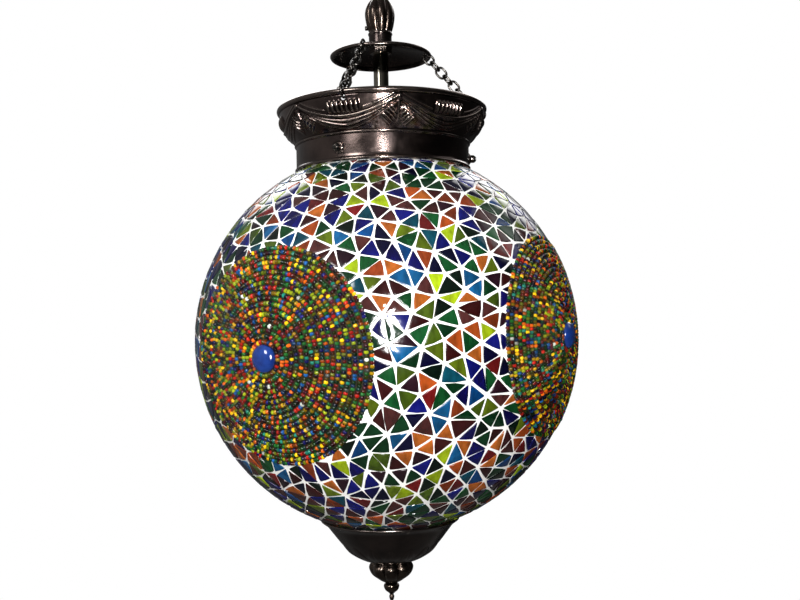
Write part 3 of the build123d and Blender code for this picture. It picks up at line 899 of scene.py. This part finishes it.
def tile_shape(triangle):
    """Points and number of sides of one flat glass tile, or None where it has no room."""
    middle = unit(triangle.mean(0))
    height = middle[2] * TILE_TOP_R
    if height > TILE_EDGE_HIGH_Z + 5 or height < TILE_EDGE_LOW_Z - 5:
        return None
    side = unit(np.cross((0, 0, 1), middle))
    other = np.cross(middle, side)
    gap = GROUT_GAP / 2 * rng.uniform(0.7, 1.4)
    turn = math.radians(rng.normal(0, 2.6))
    shift = rng.normal(0, 0.15, 2)
    tilt = rng.normal(0, 0.012, 2)
    bulge = rng.uniform(0.0, 0.045)
    rng.uniform()  # A spare draw, kept so that the later tiles stay as they are.
    cell = cell_outline(triangle, side, other, middle, gap, turn, shift)
    kept = cell and nipped(cell, side, other, middle)
    if not kept:
        return None
    outline = softened(kept, bulge)
    centre = outline.mean(0)
    size = np.sqrt(polygon_area(outline) / math.pi)
    rings = []
    for inset, level in TILE_RIM:
        ring = centre + (outline - centre) * (1 - inset / size)
        drop = np.zeros(len(ring)) if level == TILE_FOOT_R else ring @ tilt
        rings.append(ring[:, :1] * side + ring[:, 1:] * other + (level + drop)[:, None] * middle)
    return np.concatenate(rings), len(outline)


def tile_groups():
    """Every tile's points and faces, by colour."""
    names = list(TILE_COLOURS)
    shares = np.array([TILE_COLOURS[name][0] for name in names])
    groups = {name: ([], [], []) for name in names}
    for triangle in triangulated(scattered_points(TILE_CORNERS)):
        shape = tile_shape(triangle)
        if shape is None:
            continue
        points, sides = shape
        name = names[rng.choice(len(names), p=shares / shares.sum())]
        shades = TILE_COLOURS[name][1]
        shade = np.array(shades[rng.integers(len(shades))]) * rng.uniform(0.75, 1.3)
        verts, faces, tints = groups[name]
        base = sum(len(v) for v in verts)
        index = np.arange(len(points)).reshape(-1, sides) + base
        quads = bands(index)
        caps = np.stack([index[0][::-1], index[-1]])
        if volume(points, [quads - base, caps - base]) < 0:
            quads, caps = quads[:, ::-1], caps[:, ::-1]
        verts.append(points)
        faces += [quads, caps]
        tints.append(np.tile([*shade, 1.0], (len(points), 1)))
    return groups


def merged_blocks(blocks):
    """Blocks of faces joined by their number of sides."""
    sizes = sorted({block.shape[1] for block in blocks})
    return [np.concatenate([block for block in blocks if block.shape[1] == size]) for size in sizes]


for colour, (verts, faces, tints) in tile_groups().items():
    points, blocks = np.concatenate(verts), merged_blocks(faces)
    tiles = mesh_object(f"tiles_{colour}", points, blocks, TILE_GLASS, 50, np.concatenate(tints))
    place(tiles, "lamp_body", "tiles", "tile_field")


# ---- Medallions ----
BEAD_ROW = 3.12
BEAD_STEP = 1.95
BEAD_CENTRE_R = 124.95
BED_FOOT_R = 124.2
BED_TOP_R = 124.66
STONE_FOOT = 123.7
STONE_GIRDLE = 125.2
STONE_RISE = 3.8
# Each colour's share of the beads, and its shade.
BEAD_COLOURS = (
    (0.13, (0.130, 0.0040, 0.0020)),
    (0.12, (0.200, 0.0340, 0.0015)),
    (0.14, (0.270, 0.1550, 0.0020)),
    (0.16, (0.085, 0.1050, 0.0025)),
    (0.18, (0.003, 0.0330, 0.0045)),
    (0.06, (0.003, 0.0500, 0.0330)),
    (0.07, (0.003, 0.0260, 0.0850)),
    (0.07, (0.002, 0.0020, 0.0330)),
    (0.06, (0.020, 0.0020, 0.0050)),
    (0.01, (0.230, 0.2400, 0.2100)),
)


def bead_template():
    """A round glass seed bead about the X axis, 1.8 long and 2.7 across, with its hole."""
    outline = [(0.45, -0.62), (0.88, -0.9), (1.36, -0.4), (1.36, 0.4), (0.88, 0.9), (0.45, 0.62)]
    verts, faces = turned(outline, 7)
    return verts[:, [2, 0, 1]], faces


def beads(azimuth, elevation, half_angle):
    """Close rings of beads on the sphere, from the stone out to the rim."""
    axis = outward(azimuth, elevation)
    side = unit(np.cross((0, 0, 1), axis))
    other = np.cross(axis, side)
    template, template_faces = bead_template()
    shares = np.array([share for share, _ in BEAD_COLOURS])
    colours = np.array([colour for _, colour in BEAD_COLOURS])
    first, last = STONE_R + 1.6, math.radians(half_angle) * TILE_TOP_R - 1.5
    rings = round((last - first) / BEAD_ROW) + 1
    verts, tints = [], []
    for reach in np.linspace(first, last, rings):
        count = round(2 * math.pi * TILE_TOP_R * math.sin(reach / TILE_TOP_R) / BEAD_STEP)
        turns = rng.uniform(0, 2 * math.pi) + np.arange(count) * 2 * math.pi / count
        for turn in turns + rng.normal(0, 0.045 * 2 * math.pi / count, count):
            tilt = (reach + rng.normal(0, 0.12)) / TILE_TOP_R
            outwards = math.cos(turn) * side + math.sin(turn) * other
            normal = math.cos(tilt) * axis + math.sin(tilt) * outwards
            along = unit(np.cross(axis, outwards))
            lean = rng.normal(0, 0.07)
            across = np.cross(normal, along)
            along, across = along + lean * across, across - lean * along
            length, girth = rng.uniform(0.88, 1.03), rng.uniform(0.92, 1.05)
            points = template * (length, girth, girth * 0.92)
            centre = normal * (BEAD_CENTRE_R + rng.normal(0, 0.06))
            verts.append(centre + points @ np.array([along, across, normal]))
            colour = colours[rng.choice(len(colours), p=shares / shares.sum())]
            # Random brightness per bead: partly each bead's own tone, partly painted glints, with
            # the few brightest beads standing in for the glass's coloured highlights.
            colour = colour * (0.12 + 3.1 * rng.uniform() ** 2)
            tints.append(np.tile([*np.clip(colour, 0, 0.95), 1.0], (len(template), 1)))
    offsets = np.arange(len(verts))[:, None, None] * len(template)
    faces = [(face[None] + offsets).reshape(-1, face.shape[1]) for face in template_faces]
    return np.concatenate(verts), faces, np.concatenate(tints)


def bed_outline(half_angle):
    """Outline of the glue under the beads, from below the stone to short of the rim."""
    start, end = (STONE_R - 0.5) / TILE_TOP_R, math.radians(half_angle) - 1.0 / TILE_TOP_R
    angles = np.linspace(start, end, 40)
    outer = [(BED_TOP_R * math.sin(a), BED_TOP_R * math.cos(a)) for a in angles]
    inner = [(BED_FOOT_R * math.sin(a), BED_FOOT_R * math.cos(a)) for a in angles[::-1]]
    return outer + inner


stone_outline = [(0, STONE_FOOT), (7.7, STONE_FOOT), (STONE_R, 124.1), (STONE_R, STONE_GIRDLE)]
for turn in np.radians(np.linspace(6, 84, 14)):
    stone_outline.append((STONE_R * math.cos(turn), STONE_GIRDLE + STONE_RISE * math.sin(turn)))
stone_outline.append((0, STONE_GIRDLE + STONE_RISE))
for number, (azimuth, elevation, half_angle) in enumerate(MEDALLIONS, 1):
    axis = outward(azimuth, elevation)
    verts, faces, tints = beads(azimuth, elevation, half_angle)
    field = mesh_object(f"beads_{number}", verts, faces, BEAD_GLASS, 60, tints)
    place(field, "lamp_body", "beads", f"medallion_{number}")
    bed = turned(bed_outline(half_angle), 160)
    # The bed's near-black colour shows only in the gaps between beads, as painted shade.
    glue = mesh_object(f"bead_bed_{number}", *turned_to(bed, axis), GLUE_WITH_GAP_SHADE)
    place(glue, "lamp_body", "beads")
    stone = mesh_object(f"stone_{number}", *turned_to(turned(stone_outline, 72), axis), CABOCHON)
    place(stone, "lamp_body", "cabochon", f"cabochon_{number}")


# ---- Cup and finial ----
LEAF_COUNT = 16
LEAF_TOP_Z = -132.5
LEAF_LENGTH = 10.0
CUP_FOOT_Z = -145.9
BALL_TOP_Z = -146.2
BALL_R = 14.7
BALL_FOOT_Z = -160.9
FINIAL_POINT_Z = -173.0


def foot_leaves(theta, r, z):
    """Low pointed leaves round the cup's foot."""
    rise = np.clip((LEAF_TOP_Z - z) / LEAF_LENGTH, 0, 1)
    phase = LEAF_COUNT / 2 * theta
    leaf = np.abs(np.cos(phase))
    vein = 1 - 0.35 * np.clip(1 - np.abs(np.sin(phase)) * 6, 0, 1)
    return 0.75 * vein * np.clip(rise * 1.6 - (1 - leaf) * 1.5, 0, 1) ** 0.5 * (z > -146.5)


cup_lip = arc((45.2, -117.9), 0.8, 160, -60, 12)
cup_bell = [(45.2, -118.9), (42.0, -121.4), (38.4, -126.0), (33.4, -132.4)]
cup_outside = curve([*cup_bell, (27.6, -138.8), (20.4, -143.4), (14.5, -145.6)], 12)
cup_sheet = 1.0
cup_floor = [(13.6, CUP_FOOT_Z), (2.1, CUP_FOOT_Z)]
cup_floor += [(2.1, CUP_FOOT_Z + cup_sheet), (13.0, CUP_FOOT_Z + cup_sheet)]
cup_hollow = [(20.0, -142.5), (27.1, -138.0), (32.9, -131.5)]
cup_mouth = [(37.9, -125.1), (41.4, -120.5), (44.6, -118.0)]
cup_outline, cup_mask = flagged(
    (cup_lip, 0),
    (cup_outside, 1),
    (rounded(cup_floor, 0.2), 0),
    (curve(cup_hollow + cup_mouth, 5), 0),
)
cup = turned(cup_outline, 480, foot_leaves, cup_mask)
place(mesh_object("cup", *cup, TURNED_BRONZE, 50), "lamp_body", "bronze", "bottom_cup")

ball_head = [(0, BALL_TOP_Z), (12.0, BALL_TOP_Z)]
ball_curve = [(13.0, -146.6), (BALL_R, -150.4), (12.9, -155.0), (8.6, -158.4), (4.6, -160.5)]
ball_side = curve(ball_curve, 9)
ball_foot = [(4.0, BALL_FOOT_Z), (0, BALL_FOOT_Z)]
ball = turned(ball_head + ball_side + ball_foot, 320, lobes(LOBE_COUNT, 2.3, BALL_R))
place(mesh_object("ball", *ball, CAST_BRONZE, 60), "finial", "bronze", "finial_ball")

tip_ball = [(3.6, -160.95), (4.9, -162.1), (5.1, -163.6), (4.2, -165.7), (2.2, -167.4)]
tip_neck = [(1.3, -168.5), (1.75, -169.9)]
tip_point = [(1.6, -170.9), (1.2, -172.2), (0.6, -172.9)]
tip_side = curve(tip_ball + tip_neck, 7) + curve(tip_point, 5)
tip_outline = [(0, -160.92), *tip_side, (0, FINIAL_POINT_Z)]
place(mesh_object("tip", *turned(tip_outline, 72), CAST_BRONZE), "finial", "bronze", "finial_tip")


# ---- Parts kept from CAD ----
KEPT = {
    RUBBER: ("cable_bush", "cup_gasket"),
    TURNED_BRONZE: ("disc_lock_nut",),
    PLATED_STEEL: ("holder_lock_nut", "threaded_rod", "inner_washer", "clamp_plate", "clamp_nut"),
    CORE_BROWN: ("core_line",),
    CORE_BLUE: ("core_neutral",),
    PHENOLIC: ("holder_cap", "holder_body"),
    BRASS: (
        "holder_screw_shell",
        "centre_contact",
        "terminal_blocks",
        "terminal_screws",
        "bulb_contact",
    ),
    ALUMINIUM: ("bulb_cap",),
    BULB_GLASS: ("bulb_glass", "bulb_stem"),
    GLOBE_GLASS: ("globe_glass",),
}
for material, names in KEPT.items():
    for name in names:
        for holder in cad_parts[name].material_slots:
            holder.material = material


# ---- Stage, light and camera ----
def area_light(name, place_at, aim, size, power, spread):
    """A softbox of a width and height, its beam held in by a grid."""
    data = bpy.data.lights.new(name, "AREA")
    data.shape = "RECTANGLE"
    data.size, data.size_y = size
    data.energy = power
    data.spread = math.radians(spread)
    lamp = bpy.data.objects.new(name, data)
    lamp.location = place_at
    lamp.rotation_euler = (Vector(aim) - Vector(place_at)).to_track_quat("-Z", "Y").to_euler()
    bpy.context.scene.collection.objects.link(lamp)


def seen_or_felt(tree, seen, felt, target):
    """Show one shader to the camera and light the lamp with another."""
    blend = tree.nodes.new("ShaderNodeMixShader")
    ray = tree.nodes.new("ShaderNodeLightPath")
    tree.links.new(ray.outputs["Is Camera Ray"], blend.inputs[0])
    tree.links.new(felt.outputs[0], blend.inputs[1])
    tree.links.new(seen.outputs[0], blend.inputs[2])
    tree.links.new(blend.outputs[0], target.inputs["Surface"])


def floor_material():
    """Pale grey, lit up where the camera sees it."""
    material, tree, shader = new_material("studio_floor")
    shader.inputs["Roughness"].default_value = 0.8
    mottle = ramp(tree, noise(tree, 6, 3), [(0.3, (0.44, 0.44, 0.43)), (0.7, (0.48, 0.48, 0.47))])
    tree.links.new(mottle, shader.inputs["Base Color"])
    glow = ramp(tree, noise(tree, 5, 3), [(0.3, (0.96, 0.96, 0.95)), (0.7, (1, 1, 0.99))])
    lit = tree.nodes.new("ShaderNodeEmission")
    lit.inputs["Strength"].default_value = 0.55
    tree.links.new(glow, lit.inputs["Color"])
    both = tree.nodes.new("ShaderNodeAddShader")
    tree.links.new(shader.outputs[0], both.inputs[0])
    tree.links.new(lit.outputs[0], both.inputs[1])
    seen_or_felt(tree, both, shader, tree.nodes["Material Output"])
    return material


def floor_slab(height, radius):
    """A wide round floor with a softly rounded edge, well below the lamp."""
    thickness = 0.05
    edge = [(radius, height - thickness), (radius, height)]
    outline = rounded([(0, height - thickness), *edge, (0, height)], 0.02, 3, False)
    verts, faces = turned(np.array(outline) * 1000 - (0, GLOBE_Z * 1000), 96)
    return mesh_object("floor", verts, faces, floor_material())


def studio_world():
    """White to the camera; to the lamp, dim light that brightens towards the upper left."""
    world = bpy.data.worlds.new("studio")
    world.use_nodes = True
    tree = world.node_tree
    tree.nodes.clear()
    seen = tree.nodes.new("ShaderNodeBackground")
    felt = tree.nodes.new("ShaderNodeBackground")
    for background in (seen, felt):
        background.inputs["Color"].default_value = (1, 1, 1, 1)
    seen.inputs["Strength"].default_value = 1.0
    facing = tree.nodes.new("ShaderNodeVectorMath")
    facing.operation = "DOT_PRODUCT"
    facing.inputs[1].default_value = (-0.75, -0.15, 0.64)
    coords = tree.nodes.new("ShaderNodeTexCoord")
    tree.links.new(coords.outputs["Generated"], facing.inputs[0])
    sky = tree.nodes.new("ShaderNodeMapRange")
    limits = {"From Min": -0.4, "From Max": 0.9, "To Min": 0.02, "To Max": 0.26}
    for socket, value in limits.items():
        sky.inputs[socket].default_value = value
    tree.links.new(facing.outputs["Value"], sky.inputs["Value"])
    tree.links.new(sky.outputs[0], felt.inputs["Strength"])
    seen_or_felt(tree, seen, felt, tree.nodes.new("ShaderNodeOutputWorld"))
    return world


floor_slab(-1.9, 2.2)
bpy.context.scene.world = studio_world()

GLOBE = (0.0, 0.0, GLOBE_Z)
area_light("key", (0.015, -0.75, GLOBE_Z + 0.085), (0, 0, GLOBE_Z + 0.04), (0.055, 0.25), 2.6, 100)
area_light("fill_left", (-0.95, -1.22, GLOBE_Z + 0.75), GLOBE, (0.50, 0.60), 0.85, 40)
area_light("side_right", (1.5, 0.45, GLOBE_Z + 1.20), GLOBE, (1.1, 1.1), 0.22, 40)
area_light("back_left", (-0.45, 1.45, GLOBE_Z + 1.15), GLOBE, (1.3, 1.3), 1.9, 40)
area_light("back_right", (0.60, 1.35, GLOBE_Z + 0.95), GLOBE, (1.3, 1.3), 1.3, 40)

CAMERA_DISTANCE = 0.651
CAMERA_RISE = 0.011
FOCAL_LENGTH = 43.9
YAW, PITCH, ROLL = math.radians(0.84), math.radians(1.33), math.radians(1.2)
camera_data = bpy.data.cameras.new("camera")
camera_data.sensor_width = 36.0
camera_data.lens = FOCAL_LENGTH
camera = bpy.data.objects.new("camera", camera_data)
bpy.context.scene.collection.objects.link(camera)
bpy.context.scene.camera = camera
ahead, right = math.cos(YAW) * math.cos(PITCH), math.sin(YAW) * math.cos(PITCH)
forward = Vector((right, ahead, math.sin(PITCH)))
camera.location = (0.0, -CAMERA_DISTANCE, GLOBE_Z + CAMERA_RISE)
level = forward.to_track_quat("-Z", "Y")
camera.rotation_mode = "QUATERNION"
camera.rotation_quaternion = level @ Matrix.Rotation(-ROLL, 4, "Z").to_quaternion()
bpy.context.scene.view_settings.view_transform = "Standard"
